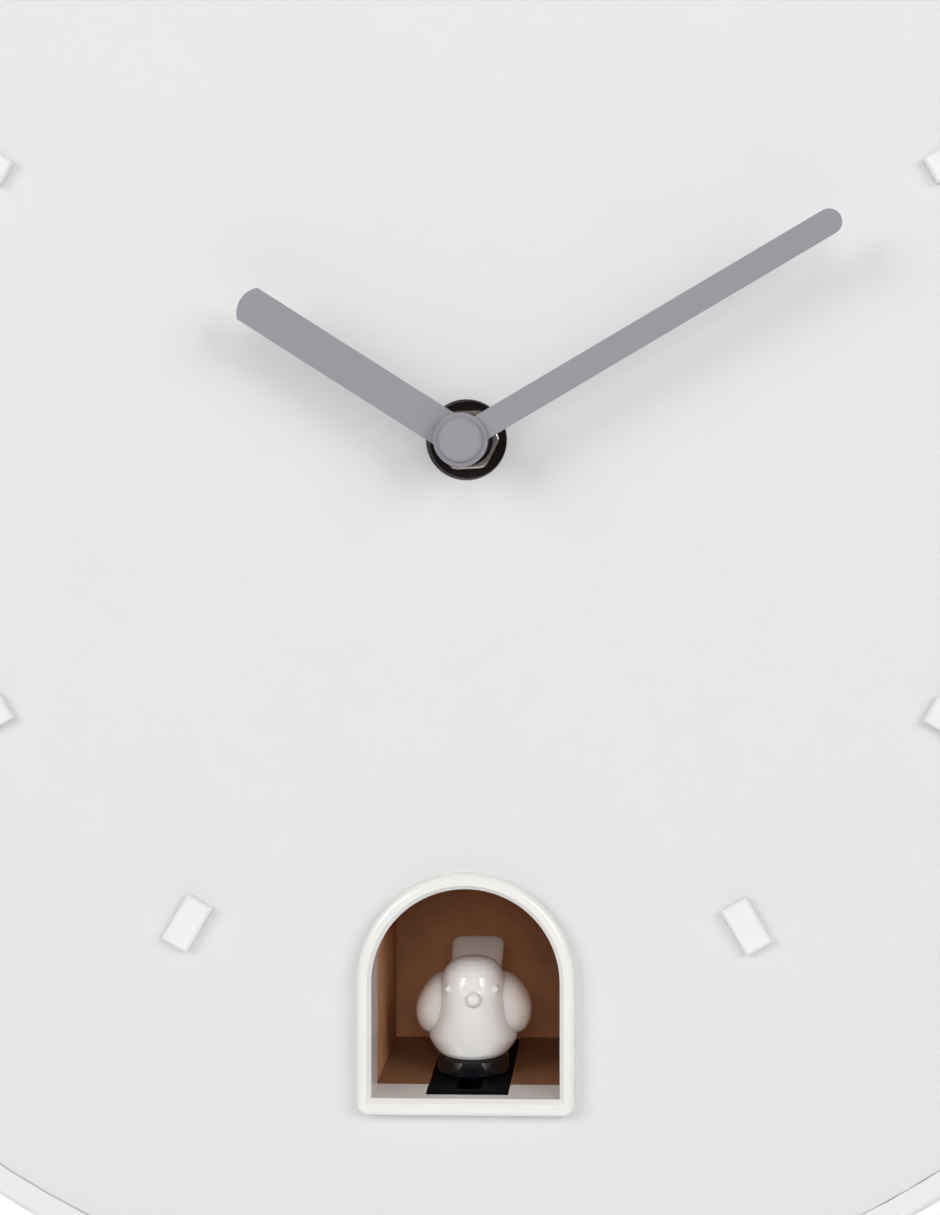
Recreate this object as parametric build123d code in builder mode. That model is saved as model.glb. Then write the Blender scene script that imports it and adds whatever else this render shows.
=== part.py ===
from build123d import *

import math
import os

# Round wall clock with a small bird in an arched doorway.
# X is to the viewer's right, Z is up and the front faces -Y. The wall is the plane Y = 0 and the
# hands turn about the Y axis, so the origin is where the hand axis meets the wall.
# "Reach" below is a distance in front of the wall, so a point with reach h has Y = -h.

# ------------------------------------------------------------------ driving dimensions (mm)
# case and dial
case_radius = 150.0
case_wall = 2.6
case_depth = 52.0
lip_width = 4.2
lip_bevel_drop = 1.5
lip_round = 2.0
dial_recess = 2.0
dial_thickness = 2.4
dial_clearance = 0.08
dial_ledge_width = 4.0
dial_ledge_thickness = 2.0
centre_hole_radius = 6.85
cover_thickness = 2.4
cover_clearance = 0.2
cover_ledge_width = 2.4
cover_ledge_thickness = 1.6
cover_screw_count = 6
cover_post_radius = 4.2

# hour markers
marker_ring_radius = 94.0
marker_length = 8.6
marker_width = 4.8
marker_height = 2.0
marker_chamfer = 0.4

# doorway, its frame and the nest box behind it
door_width = 31.6
door_height = 35.1
door_sill = -110.3
frame_proud = 3.0
frame_band = 2.5
sill_band = 2.9
frame_corner_radius = 2.0
frame_edge_round = 1.1
frame_inner_bevel = 0.7
sleeve_depth = 7.0
sleeve_wall = 1.5
sleeve_clearance = 0.15
hook_length = 6.0
hook_proud = 0.8
nest_depth = 33.5
nest_side_gap = 0.15
nest_head_room = 1.2
nest_wall = 1.5
nest_flange_width = 6.6
nest_flange_thickness = 2.0

# bird and its slide
bird_set_back = 19.5
bird_travel = 13.0
bird_height = 17.1
bird_base_radius = 5.4
bird_belly_radius = 7.8
bird_belly_height = 3.3
bird_breast_radius = 6.45
bird_breast_height = 7.6
bird_head_radius = 5.65
bird_head_height = 12.9
wing_radius = 5.5
wing_half_thickness = 2.9
wing_offset = 7.4
wing_centre_height = 8.6
tail_width = 10.0
tail_thickness = 2.6
tail_tip_round = 0.9
tail_reach = 14.0
tail_height = 17.6
beak_radius = 1.35
beak_height = 10.7
eye_radius = 0.85
eye_height = 11.8
eye_spacing = 8.0
pedestal_radius = 6.2
pedestal_height = 2.7
rail_width = 13.6
rail_set_back = 5.9
rail_clearance = 0.2
sill_slot_set_back = 3.3
slide_gap = 0.3
stem_radius = 1.9
stem_offset = 3.0
spigot_radius = 1.2
carriage_half_width = 7.9
carriage_thickness = 3.1
carriage_tail = 18.0
carriage_nose = 3.0
chassis_wall = 2.0
chassis_plate = 2.0
chassis_depth = 20.2
guide_width = 3.2
guide_thickness = 1.5
rack_half_width = 3.2

# drive of the bird's slide
rack_module = 0.8
rack_pinion_teeth = 12
drive_module = 0.5
drive_gear_teeth = 36
motor_pinion_teeth = 10
drive_gear_width = 2.0
axle_radius = 1.0
axle_fit = 0.04
motor_radius = 10.0
motor_length = 20.0
motor_direction = math.radians(200)
motor_shell = 0.8
gearbox_plate_thickness = 2.0

# quartz movement
movement_side = 56.0
movement_depth = 16.0
movement_wall = 1.3
movement_split = 7.5
bracket_thickness = 2.0
bracket_gap = 1.6
bracket_width = 76.0
bracket_height = 92.0
bushing_radius = 3.95
bushing_reach = 10.0
nut_across_flats = 10.0
nut_height = 2.2
nut_turn = 3.0
nut_corner_radius = 5.55
nut_bore_chamfer = 0.4
washer_radius = 6.5
washer_thickness = 0.5
shaft_fit = 0.05
minute_shaft_radius = 1.45
hour_tube_radius = 2.5
pivot_radius = 0.4
arbor_radius = 0.55
pivot_fit = 0.04
pivot_depth = 0.9
works_module = 0.5
works_pinion_teeth = 12
works_wheel_teeth = 36
hour_pinion_teeth = 10
hour_wheel_teeth = 40
train_module = 0.3

# hands, set at about ten past ten
minute_hand_angle = 59.4
hour_hand_angle = -57.6
minute_hand_length = 71.8
minute_hand_width = 4.3
hour_hand_length = 43.1
hour_hand_width = 6.15
hour_hand_crown = 1.3
hand_thickness = 0.6
hour_hand_rise = 10.4
minute_hand_rise = 12.2
minute_hub_radius = 3.9
hour_hub_radius = 4.2
cap_radius = 3.6
cap_bevel = 0.35
cap_height = 1.8
cap_flange_radius = 4.45
cap_flange_height = 0.8

# back: hanger, batteries, speaker, controls
hanger_width = 40.0
hanger_height = 26.0
hanger_thickness = 1.5
hanger_centre = 122.0
keyhole_radius = 4.5
keyhole_slot_width = 4.2
keyhole_rise = 9.0
keyhole_centre = 118.0
cell_radius = 7.25
cell_length = 50.5
cell_gap = 0.6
cell_count = 3
contact_room = 4.0
contact_thickness = 0.5
tray_wall = 1.5
tray_centre = 78.0
door_thickness = 1.5
door_land = 2.2
door_gap = 0.3
speaker_radius = 28.5
speaker_x = -68.0
speaker_z = -60.0
board_x = 68.0
board_z = -58.0
board_width = 56.0
board_height = 40.0
board_thickness = 1.6
board_reach = 9.0
switch_x = 54.0
switch_travel = 2.5
button_x = 80.0
control_z = -50.0
control_gap = 0.3
button_travel = 1.0
knob_radius = 6.0
knob_head = 3.6
knob_dish_radius = 14.0
knob_dish_depth = 4.9
wall_recess = 0.8

# small self-tapping screws, all alike
screw_radius = 1.25
screw_head_radius = 2.5
screw_head_height = 1.5
screw_length = 4.2
screw_fit = 0.05

# ------------------------------------------------------------------ places worked out from them
dial_front = case_depth - dial_recess
dial_back = dial_front - dial_thickness
lip_inner_radius = case_radius - lip_width
dial_radius = lip_inner_radius - dial_clearance
shell_radius = case_radius - case_wall
cover_radius = shell_radius - cover_clearance
cover_post_ring = shell_radius - cover_post_radius + 0.4

door_front = dial_front + frame_proud
door_half = door_width / 2
door_spring = door_sill + door_height - door_half
sleeve_half = door_half + sleeve_wall
sleeve_back = dial_front - sleeve_depth
sleeve_bottom = door_sill - sleeve_wall
nest_front = sleeve_back
nest_back = nest_front - nest_depth
nest_half = door_half + nest_side_gap
nest_outer = nest_half + nest_wall
nest_roof = door_sill + door_height + nest_head_room
nest_floor_bottom = door_sill - nest_wall
flange_edge = nest_outer + nest_flange_width
flange_screw_x = nest_outer + nest_flange_width / 2

bird_reach = door_front - bird_set_back
pedestal_bottom = door_sill + slide_gap
bird_base = pedestal_bottom + pedestal_height
stem_reach = bird_reach - stem_offset
rail_front = door_front - rail_set_back
rail_back = nest_back + 1.0
sill_slot_front = door_front - sill_slot_set_back
chassis_top = nest_floor_bottom
plate_bottom = chassis_top - chassis_plate
chassis_bottom = plate_bottom - chassis_depth
channel_half = carriage_half_width + slide_gap
chassis_half = channel_half + chassis_wall
carriage_top = plate_bottom - slide_gap
carriage_bottom = carriage_top - carriage_thickness
guide_top = carriage_bottom - slide_gap
rack_root = carriage_bottom - 0.8
rack_pitch_line = rack_root - 1.25 * rack_module
rack_pitch_radius = rack_module * rack_pinion_teeth / 2
drive_axis_z = rack_pitch_line - rack_pitch_radius
carriage_back = stem_reach - carriage_tail
carriage_front = stem_reach + carriage_nose
drive_axis_reach = (carriage_back + bird_travel + carriage_front) / 2
drive_centre_distance = drive_module * (drive_gear_teeth + motor_pinion_teeth) / 2
motor_axis_reach = drive_axis_reach + drive_centre_distance * math.cos(motor_direction)
motor_axis_z = drive_axis_z + drive_centre_distance * math.sin(motor_direction)
drive_gear_x = chassis_half + 1.0
gearbox_plate_x = drive_gear_x + drive_gear_width + 1.2
motor_x = gearbox_plate_x + gearbox_plate_thickness

bracket_front = dial_back - bracket_gap
bracket_back = bracket_front - bracket_thickness
movement_front_face = bracket_back
movement_back_face = movement_front_face - movement_depth
movement_parting = movement_back_face + movement_split
works_floor = movement_front_face - movement_wall
train_floor = movement_back_face + movement_wall
bushing_top = movement_front_face + bushing_reach
works_distance = works_module * (works_pinion_teeth + works_wheel_teeth) / 2
hour_module = 2 * works_distance / (hour_pinion_teeth + hour_wheel_teeth)
minute_wheel_angle = -120.0
minute_wheel_x = works_distance * math.cos(math.radians(minute_wheel_angle))
minute_wheel_z = works_distance * math.sin(math.radians(minute_wheel_angle))
knob_x = 0.0
knob_z = 2 * minute_wheel_z
hour_hand_reach = dial_front + hour_hand_rise
minute_hand_reach = dial_front + minute_hand_rise
cap_reach = minute_hand_reach + hand_thickness

tray_inner_length = cell_length + contact_room + 2 * contact_thickness
tray_inner_height = cell_count * (2 * cell_radius + cell_gap)
tray_depth = 2 * cell_radius + 2 * cell_gap
tray_floor = cover_thickness + tray_depth
cell_reach = cover_thickness + cell_gap + cell_radius


# ------------------------------------------------------------------ helpers
def facing(reach):
    """Plane parallel to the wall, seen from the front: its own axes are X and Z."""
    return Plane.XZ.offset(reach)


def block(x_span, reach_span, z_span, mode=Mode.ADD):
    """Box between two values along X, two reaches and two heights."""
    middle = (sum(x_span) / 2, -sum(reach_span) / 2, sum(z_span) / 2)
    with Locations(middle):
        Box(x_span[1] - x_span[0], reach_span[1] - reach_span[0], z_span[1] - z_span[0], mode=mode)


def rod(x, z, radius, start, end, mode=Mode.ADD):
    """Cylinder square to the wall, from one reach to another."""
    with Locations((x, -(start + end) / 2, z)):
        Cylinder(radius, end - start, rotation=(90, 0, 0), mode=mode)


def cross_rod(reach, z, radius, start, end, mode=Mode.ADD):
    """Cylinder along X, from one X to another."""
    with Locations(((start + end) / 2, -reach, z)):
        Cylinder(radius, end - start, rotation=(0, 90, 0), mode=mode)


def arch(half_width, spring, sill):
    """Round-headed outline drawn into the current sketch."""
    with Locations((0, (spring + sill) / 2)):
        Rectangle(2 * half_width, spring - sill)
    with Locations((0, spring)):
        Circle(half_width)
    with Locations((0, sill - half_width)):
        Rectangle(2 * half_width, 2 * half_width, mode=Mode.SUBTRACT)


def screw(x, z, head_reach, direction):
    """Pan-head screw square to the wall: the head's inner face is at head_reach."""
    shank_end = head_reach + direction * screw_length
    head_top = head_reach - direction * screw_head_height
    rod(x, z, screw_radius, min(head_reach, shank_end), max(head_reach, shank_end))
    rod(x, z, screw_head_radius, min(head_reach, head_top), max(head_reach, head_top))


def gear_points(teeth, module, phase, slim=0.0):
    """Corners of a spur gear's outline; a tooth is centred at the angle phase, in radians."""
    pitch_radius = module * teeth / 2
    tip_radius = pitch_radius + 0.85 * module
    root_radius = pitch_radius - 1.2 * module
    step = 2 * math.pi / teeth
    root_half = (0.27 - slim) * step
    pitch_half = (0.225 - slim) * step
    tip_half = (0.11 - slim / 2) * step
    corners = []
    for number in range(teeth):
        middle = phase + number * step
        for radius, half in (
            (root_radius, -root_half),
            (pitch_radius, -pitch_half),
            (tip_radius, -tip_half),
            (tip_radius, tip_half),
            (pitch_radius, pitch_half),
            (root_radius, root_half),
        ):
            corners.append((radius * math.cos(middle + half), radius * math.sin(middle + half)))
    return corners


def gear(x, z, teeth, module, phase, start, end, slim=0.0):
    """Spur gear square to the wall, from one reach to another."""
    with BuildSketch(facing(start)) as outline:
        with Locations((x, z)):
            Polygon(*gear_points(teeth, module, phase, slim), align=None)
    extrude(outline.sketch, amount=end - start)


def meshed_phase(phase, teeth, other_teeth, direction):
    """Phase of a gear that meshes with one at the given phase, lying in the given direction."""
    return direction + math.pi - math.pi / other_teeth + (direction - phase) * teeth / other_teeth


def finish(part, name):
    """Labels a finished piece and writes its file."""
    part.label = name
    export_step(part, "parts/" + name + ".step")


os.makedirs("parts", exist_ok=True)

# ------------------------------------------------------------------ case
with BuildPart() as case_ring:
    with BuildSketch(Plane.XY) as section:
        with BuildLine():
            Polyline(
                (shell_radius, 0),
                (case_radius, 0),
                (case_radius, -(case_depth - lip_round)),
            )
            RadiusArc(
                (case_radius, -(case_depth - lip_round)),
                (case_radius - lip_round, -case_depth),
                lip_round,
            )
            Polyline(
                (case_radius - lip_round, -case_depth),
                (lip_inner_radius, -(case_depth - lip_bevel_drop)),
                (lip_inner_radius, -dial_back),
                (lip_inner_radius - dial_ledge_width, -dial_back),
                (lip_inner_radius - dial_ledge_width, -(dial_back - dial_ledge_thickness)),
                (shell_radius, -(dial_back - dial_ledge_thickness)),
                (shell_radius, -(cover_thickness + cover_ledge_thickness)),
                (shell_radius - cover_ledge_width, -(cover_thickness + cover_ledge_thickness)),
                (shell_radius - cover_ledge_width, -cover_thickness),
                (shell_radius, -cover_thickness),
                (shell_radius, 0),
            )
        make_face()
    revolve(axis=Axis.Y)
    with BuildSketch(facing(cover_thickness)):
        with PolarLocations(cover_post_ring, cover_screw_count):
            Circle(cover_post_radius)
    extrude(amount=dial_back - dial_ledge_thickness - cover_thickness)
    with BuildSketch(facing(cover_thickness)):
        with PolarLocations(cover_post_ring, cover_screw_count):
            Circle(screw_radius + screw_fit)
    extrude(amount=screw_length + 1, mode=Mode.SUBTRACT)
finish(case_ring.part, "case_ring")

bracket_post_x = bracket_width / 2 - 6
bracket_post_z = bracket_height / 2 - 6
flange_screw_low = door_sill + 7
flange_screw_high = nest_roof - 5

with BuildPart() as dial_plate:
    with BuildSketch(facing(dial_back)):
        Circle(dial_radius)
        Circle(centre_hole_radius, mode=Mode.SUBTRACT)
    extrude(amount=dial_thickness)
    with BuildSketch(facing(dial_back)):
        arch(sleeve_half + sleeve_clearance, door_spring, sleeve_bottom - sleeve_clearance)
    extrude(amount=dial_thickness, mode=Mode.SUBTRACT)
    for post_x in (-bracket_post_x, bracket_post_x):
        for post_z in (-bracket_post_z, bracket_post_z):
            rod(post_x, post_z, 3.4, bracket_front, dial_back)
            rod(post_x, post_z, screw_radius + screw_fit, bracket_front, dial_front - 0.7, Mode.SUBTRACT)
    for post_x in (-flange_screw_x, flange_screw_x):
        for post_z in (flange_screw_low, flange_screw_high):
            rod(post_x, post_z, 2.9, nest_front, dial_back)
            rod(post_x, post_z, screw_radius + screw_fit, nest_front, dial_back, Mode.SUBTRACT)
finish(dial_plate.part, "dial_plate")

with BuildPart() as hour_markers:
    for hour in range(1, 13):
        if hour == 6:
            continue
        bearing = math.radians(90 - 30 * hour)
        with BuildSketch(facing(dial_front)):
            with Locations(
                Location(
                    (marker_ring_radius * math.cos(bearing), marker_ring_radius * math.sin(bearing)),
                    math.degrees(bearing),
                )
            ):
                Rectangle(marker_length, marker_width)
        extrude(amount=marker_height)
    chamfer(hour_markers.faces().group_by(Axis.Y)[0].edges(), marker_chamfer)
finish(hour_markers.part, "hour_markers")

# ------------------------------------------------------------------ doorway and nest
with BuildPart() as door_frame:
    with BuildSketch(facing(dial_front)) as band:
        arch(door_half + frame_band, door_spring, door_sill - sill_band)
        fillet(band.vertices().group_by(Axis.Y)[0], frame_corner_radius)
    extrude(amount=frame_proud)
    fillet(door_frame.faces().sort_by(Axis.Y)[0].edges(), frame_edge_round)
    with BuildSketch(facing(sleeve_back)):
        arch(sleeve_half, door_spring, sleeve_bottom)
    extrude(amount=sleeve_depth)
    with BuildSketch(facing(sleeve_back)):
        arch(door_half, door_spring, door_sill)
    extrude(amount=door_front - sleeve_back, mode=Mode.SUBTRACT)
    front_rim = door_frame.faces().filter_by(Plane.XZ).sort_by(Axis.Y)[0]
    chamfer(front_rim.inner_wires()[0].edges(), frame_inner_bevel)
    block(
        (-rail_width / 2 - rail_clearance, rail_width / 2 + rail_clearance),
        (sleeve_back, sill_slot_front),
        (sleeve_bottom, door_sill),
        Mode.SUBTRACT,
    )
    for side in (-1, 1):
        hook_span = sorted((side * sleeve_half, side * (sleeve_half + hook_proud)))
        block(hook_span, (dial_back - 1.9, dial_back - 0.1), (door_spring - hook_length, door_spring))
finish(door_frame.part, "door_frame")

foot_back = nest_back + 4
foot_screw_reaches = (foot_back + 4, nest_front - nest_flange_thickness - 5)

with BuildPart() as nest_box:
    block(
        (-nest_outer, nest_outer),
        (nest_back - nest_wall, nest_front),
        (nest_floor_bottom, nest_roof + nest_wall),
    )
    block((-nest_half, nest_half), (nest_back, nest_front), (door_sill, nest_roof), Mode.SUBTRACT)
    block(
        (-rail_width / 2 - rail_clearance, rail_width / 2 + rail_clearance),
        (nest_back, nest_front),
        (nest_floor_bottom, door_sill),
        Mode.SUBTRACT,
    )
    for side in (-1, 1):
        ear = sorted((side * nest_outer, side * flange_edge))
        block(
            ear,
            (nest_front - nest_flange_thickness, nest_front),
            (nest_floor_bottom, nest_roof + nest_wall),
        )
        block(ear, (foot_back, nest_front), (nest_floor_bottom, nest_floor_bottom + 3))
        for hole_z in (flange_screw_low, flange_screw_high):
            rod(
                side * flange_screw_x,
                hole_z,
                screw_radius + screw_fit,
                nest_front - nest_flange_thickness,
                nest_front,
                Mode.SUBTRACT,
            )
        for hole_reach in foot_screw_reaches:
            with Locations((side * flange_screw_x, -hole_reach, nest_floor_bottom + 1.5)):
                Cylinder(screw_radius + screw_fit, 3, mode=Mode.SUBTRACT)
finish(nest_box.part, "nest_box")

# ------------------------------------------------------------------ bird and slide
with BuildPart() as bird_body:
    bird_plane = Plane(origin=(0, -bird_reach, bird_base), x_dir=(1, 0, 0), z_dir=(0, -1, 0))
    with BuildSketch(bird_plane):
        with BuildLine():
            Polyline(
                (0, bird_height),
                (0, 0),
                (bird_base_radius, 0),
                (bird_belly_radius, bird_belly_height),
            )
            Spline(
                (bird_belly_radius, bird_belly_height),
                (bird_breast_radius, bird_breast_height),
                (bird_head_radius, bird_head_height),
                (0, bird_height),
                tangents=[(-0.2, 1), (-1, 0)],
            )
        make_face()
    revolve(axis=Axis((0, -bird_reach, bird_base), (0, 0, 1)))
    tail_plane = Plane.YZ.offset(-tail_width / 2)
    tail_root = bird_reach - 3.0
    tail_end = bird_reach - tail_reach
    with BuildSketch(tail_plane):
        with BuildLine():
            Polyline(
                (-tail_root, bird_base + 3.0),
                (-tail_end, bird_base + tail_height),
                (-tail_end - 1.4 * tail_thickness, bird_base + tail_height),
                (-tail_root, bird_base + 3.0 + 2.4 * tail_thickness),
                close=True,
            )
        make_face()
    extrude(amount=tail_width)
    tail_top = bird_base + tail_height
    tip_edges = bird_body.edges().filter_by_position(Axis.Z, tail_top - 0.1, tail_top + 0.1)
    tip_edges = tip_edges.filter_by(Axis.X, reverse=True)
    tip_edges = tip_edges.filter_by_position(Axis.Y, -tail_end - 1.4 * tail_thickness, -tail_end)
    fillet(tip_edges, tail_tip_round)
    with Locations((0, -bird_reach - 5.7, bird_base + beak_height)):
        Sphere(beak_radius)
    for side in (-1, 1):
        with Locations((side * eye_spacing / 2, -bird_reach - 3.75, bird_base + eye_height)):
            Sphere(eye_radius)
finish(bird_body.part, "bird_body")

for side, wing_name in ((-1, "left_wing"), (1, "right_wing")):
    with BuildPart() as wing:
        with Locations((side * wing_offset, -bird_reach, bird_base + wing_centre_height)):
            Cylinder(wing_radius, 2 * wing_half_thickness, rotation=(0, 90, 0))
        fillet(wing.edges(), wing_half_thickness - 0.2)
        add(bird_body.part, mode=Mode.SUBTRACT)
    finish(wing.part, wing_name)

with BuildPart() as pedestal:
    with BuildSketch(Plane.XY.offset(pedestal_bottom)):
        with Locations((0, -bird_reach)):
            Circle(pedestal_radius)
        with Locations((0, -stem_reach)):
            Circle(spigot_radius + screw_fit, mode=Mode.SUBTRACT)
    extrude(amount=2)
    with BuildSketch(Plane.XY.offset(pedestal_bottom + 2)):
        with Locations((0, -bird_reach)):
            Circle(pedestal_radius)
    extrude(amount=pedestal_height - 2)
    chamfer(pedestal.edges().sort_by(Axis.Z)[-1], 0.3)
finish(pedestal.part, "pedestal")

rack_pitch = math.pi * rack_module

with BuildPart() as bird_carriage:
    block(
        (-carriage_half_width, carriage_half_width),
        (carriage_back, carriage_front),
        (carriage_bottom, carriage_top),
    )
    rack_back = carriage_back + 0.4
    rack_front = carriage_front - 0.4
    corners = [(-rack_back, carriage_bottom), (-rack_back, rack_root)]
    tooth_foot = 0.33 * rack_pitch
    first_tooth = math.ceil((rack_back + tooth_foot - drive_axis_reach) / rack_pitch - 0.5)
    last_tooth = math.floor((rack_front - tooth_foot - drive_axis_reach) / rack_pitch - 0.5)
    for number in range(first_tooth, last_tooth + 1):
        middle = drive_axis_reach + (number + 0.5) * rack_pitch
        corners.append((-(middle - tooth_foot), rack_root))
        corners.append((-(middle - 0.10 * rack_pitch), rack_root - 2.0 * rack_module))
        corners.append((-(middle + 0.10 * rack_pitch), rack_root - 2.0 * rack_module))
        corners.append((-(middle + tooth_foot), rack_root))
    corners.append((-rack_front, rack_root))
    corners.append((-rack_front, carriage_bottom))
    with BuildSketch(Plane.YZ.offset(-rack_half_width)):
        Polygon(*corners, align=None)
    extrude(amount=2 * rack_half_width)
    with Locations((0, -stem_reach, (carriage_top + pedestal_bottom) / 2)):
        Cylinder(stem_radius, pedestal_bottom - carriage_top)
    with Locations((0, -stem_reach, pedestal_bottom + 0.9)):
        Cylinder(spigot_radius, 1.8)
finish(bird_carriage.part, "bird_carriage")

gearbox_pegs = (
    (rail_back + 2.5, plate_bottom - 3.0),
    (rail_back + 2.5, chassis_bottom + 2.4),
)
gearbox_posts = (
    (drive_axis_reach + 10.0, plate_bottom - 3.0),
    (drive_axis_reach + 9.5, chassis_bottom + 2.6),
)
gearbox_front = drive_axis_reach + 12.5

with BuildPart() as bird_chassis:
    block(
        (-flange_edge, flange_edge),
        (rail_back, nest_front - nest_flange_thickness),
        (plate_bottom, chassis_top),
    )
    block((-chassis_half, chassis_half), (rail_back, rail_front), (plate_bottom, chassis_top))
    block((-rail_width / 2, rail_width / 2), (rail_back, rail_front), (chassis_top, door_sill - 0.05))
    for side in (-1, 1):
        wall_span = sorted((side * channel_half, side * chassis_half))
        block(wall_span, (rail_back, rail_front), (chassis_bottom, plate_bottom))
        guide_span = sorted((side * (channel_half - guide_width), side * channel_half))
        block(guide_span, (rail_back, rail_front), (guide_top - guide_thickness, guide_top))
    slit_back = stem_reach - stem_radius - slide_gap
    slit_front = stem_reach + bird_travel + stem_radius + slide_gap
    block(
        (-stem_radius - slide_gap, stem_radius + slide_gap),
        (slit_back, slit_front),
        (plate_bottom, door_sill),
        Mode.SUBTRACT,
    )
    cross_rod(drive_axis_reach, drive_axis_z, axle_radius, -chassis_half, -channel_half, Mode.SUBTRACT)
    block(
        (channel_half, chassis_half),
        (drive_axis_reach - 2.9, drive_axis_reach + 2.9),
        (chassis_bottom, drive_axis_z),
        Mode.SUBTRACT,
    )
    cross_rod(drive_axis_reach, drive_axis_z, 2.9, channel_half, chassis_half, Mode.SUBTRACT)
    for post_reach, post_z in gearbox_posts:
        cross_rod(post_reach, post_z, 2.0, chassis_half, gearbox_plate_x)
        cross_rod(post_reach, post_z, screw_radius + screw_fit, channel_half, gearbox_plate_x, Mode.SUBTRACT)
    for post_reach, post_z in gearbox_pegs:
        cross_rod(post_reach, post_z, 2.0, chassis_half, gearbox_plate_x)
        cross_rod(post_reach, post_z, screw_radius, gearbox_plate_x, motor_x)
    for side in (-1, 1):
        for hole_reach in foot_screw_reaches:
            with Locations((side * flange_screw_x, -hole_reach, chassis_top - chassis_plate / 2)):
                Cylinder(screw_radius + screw_fit, chassis_plate, mode=Mode.SUBTRACT)
finish(bird_chassis.part, "bird_chassis")

# The rack gap over the pinion faces a pinion tooth that points straight up.
gear_phase = 0.0
motor_phase = meshed_phase(gear_phase, drive_gear_teeth, motor_pinion_teeth, motor_direction)


def cross_gear(reach, z, teeth, module, phase, start, end):
    """Spur gear along X. Angles run from the front of the clock upwards."""
    shape_plane = Plane(origin=(end, -reach, z), x_dir=(0, -1, 0), z_dir=(-1, 0, 0))
    with BuildSketch(shape_plane) as outline:
        Polygon(*gear_points(teeth, module, phase), align=None)
    extrude(outline.sketch, amount=end - start)


with BuildPart() as drive_gear:
    cross_gear(
        drive_axis_reach,
        drive_axis_z,
        rack_pinion_teeth,
        rack_module,
        math.pi / 2,
        -rack_half_width,
        rack_half_width,
    )
    cross_rod(drive_axis_reach, drive_axis_z, 2.5, rack_half_width, drive_gear_x)
    cross_gear(
        drive_axis_reach,
        drive_axis_z,
        drive_gear_teeth,
        drive_module,
        gear_phase,
        drive_gear_x,
        drive_gear_x + drive_gear_width,
    )
    cross_rod(
        drive_axis_reach,
        drive_axis_z,
        axle_radius + axle_fit,
        -rack_half_width,
        drive_gear_x + drive_gear_width,
        Mode.SUBTRACT,
    )
finish(drive_gear.part, "drive_gear")

with BuildPart() as drive_axle:
    cross_rod(drive_axis_reach, drive_axis_z, axle_radius, -chassis_half, motor_x)
finish(drive_axle.part, "drive_axle")

motor_boss_radius = 3.0
motor_shaft_start = drive_gear_x - 0.3

with BuildPart() as gearbox_plate:
    block((gearbox_plate_x, motor_x), (rail_back, gearbox_front), (chassis_bottom, plate_bottom - 0.4))
    cross_rod(drive_axis_reach, drive_axis_z, axle_radius, gearbox_plate_x, motor_x, Mode.SUBTRACT)
    cross_rod(
        motor_axis_reach,
        motor_axis_z,
        motor_boss_radius + screw_fit,
        gearbox_plate_x,
        motor_x,
        Mode.SUBTRACT,
    )
    for post_reach, post_z in gearbox_posts + gearbox_pegs:
        cross_rod(post_reach, post_z, screw_radius + screw_fit, gearbox_plate_x, motor_x, Mode.SUBTRACT)
finish(gearbox_plate.part, "gearbox_plate")

with BuildPart() as motor_can:
    cross_rod(motor_axis_reach, motor_axis_z, motor_radius, motor_x, motor_x + motor_length)
    cross_rod(
        motor_axis_reach,
        motor_axis_z,
        motor_radius - motor_shell,
        motor_x + motor_shell,
        motor_x + motor_length,
        Mode.SUBTRACT,
    )
    cross_rod(motor_axis_reach, motor_axis_z, motor_boss_radius, gearbox_plate_x + 0.4, motor_x)
    cross_rod(
        motor_axis_reach,
        motor_axis_z,
        axle_radius + axle_fit,
        gearbox_plate_x,
        motor_x + motor_shell,
        Mode.SUBTRACT,
    )
finish(motor_can.part, "motor_can")

with BuildPart() as motor_end_cap:
    cap_inner = motor_x + motor_length - 1.5
    cross_rod(motor_axis_reach, motor_axis_z, motor_radius - motor_shell, cap_inner, motor_x + motor_length)
    cross_rod(motor_axis_reach, motor_axis_z, 3.2, motor_x + motor_length, motor_x + motor_length + 1.6)
    cross_rod(
        motor_axis_reach,
        motor_axis_z,
        axle_radius + axle_fit,
        cap_inner,
        motor_x + motor_length + 0.9,
        Mode.SUBTRACT,
    )
finish(motor_end_cap.part, "motor_end_cap")

with BuildPart() as motor_armature:
    cross_rod(motor_axis_reach, motor_axis_z, axle_radius, motor_shaft_start, motor_x + motor_length + 0.6)
    cross_rod(motor_axis_reach, motor_axis_z, 6.4, motor_x + 3.0, motor_x + motor_length - 5.0)
    cross_rod(motor_axis_reach, motor_axis_z, 2.6, motor_x + motor_length - 5.0, motor_x + motor_length - 2.2)
finish(motor_armature.part, "motor_armature")

with BuildPart() as motor_pinion:
    cross_gear(
        motor_axis_reach,
        motor_axis_z,
        motor_pinion_teeth,
        drive_module,
        motor_phase,
        drive_gear_x - 0.1,
        drive_gear_x + drive_gear_width + 0.2,
    )
    cross_rod(
        motor_axis_reach,
        motor_axis_z,
        axle_radius,
        drive_gear_x - 0.1,
        drive_gear_x + drive_gear_width + 0.2,
        Mode.SUBTRACT,
    )
finish(motor_pinion.part, "motor_pinion")

# ------------------------------------------------------------------ quartz movement
# Going train, from the stepping rotor to the centre wheel. Each place lies one centre distance
# from the last, in the direction given in degrees.
rotor_leaves = 6
fifth_teeth = 30
fifth_leaves = 6
fourth_teeth = 36
fourth_leaves = 8
third_teeth = 60
third_leaves = 8
centre_teeth = 64


def stepped(place, wheel_teeth, pinion_leaves, direction):
    """Centre of the next wheel of the going train."""
    distance = train_module * (wheel_teeth + pinion_leaves) / 2
    angle = math.radians(direction)
    return (place[0] + distance * math.cos(angle), place[1] + distance * math.sin(angle))


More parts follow.
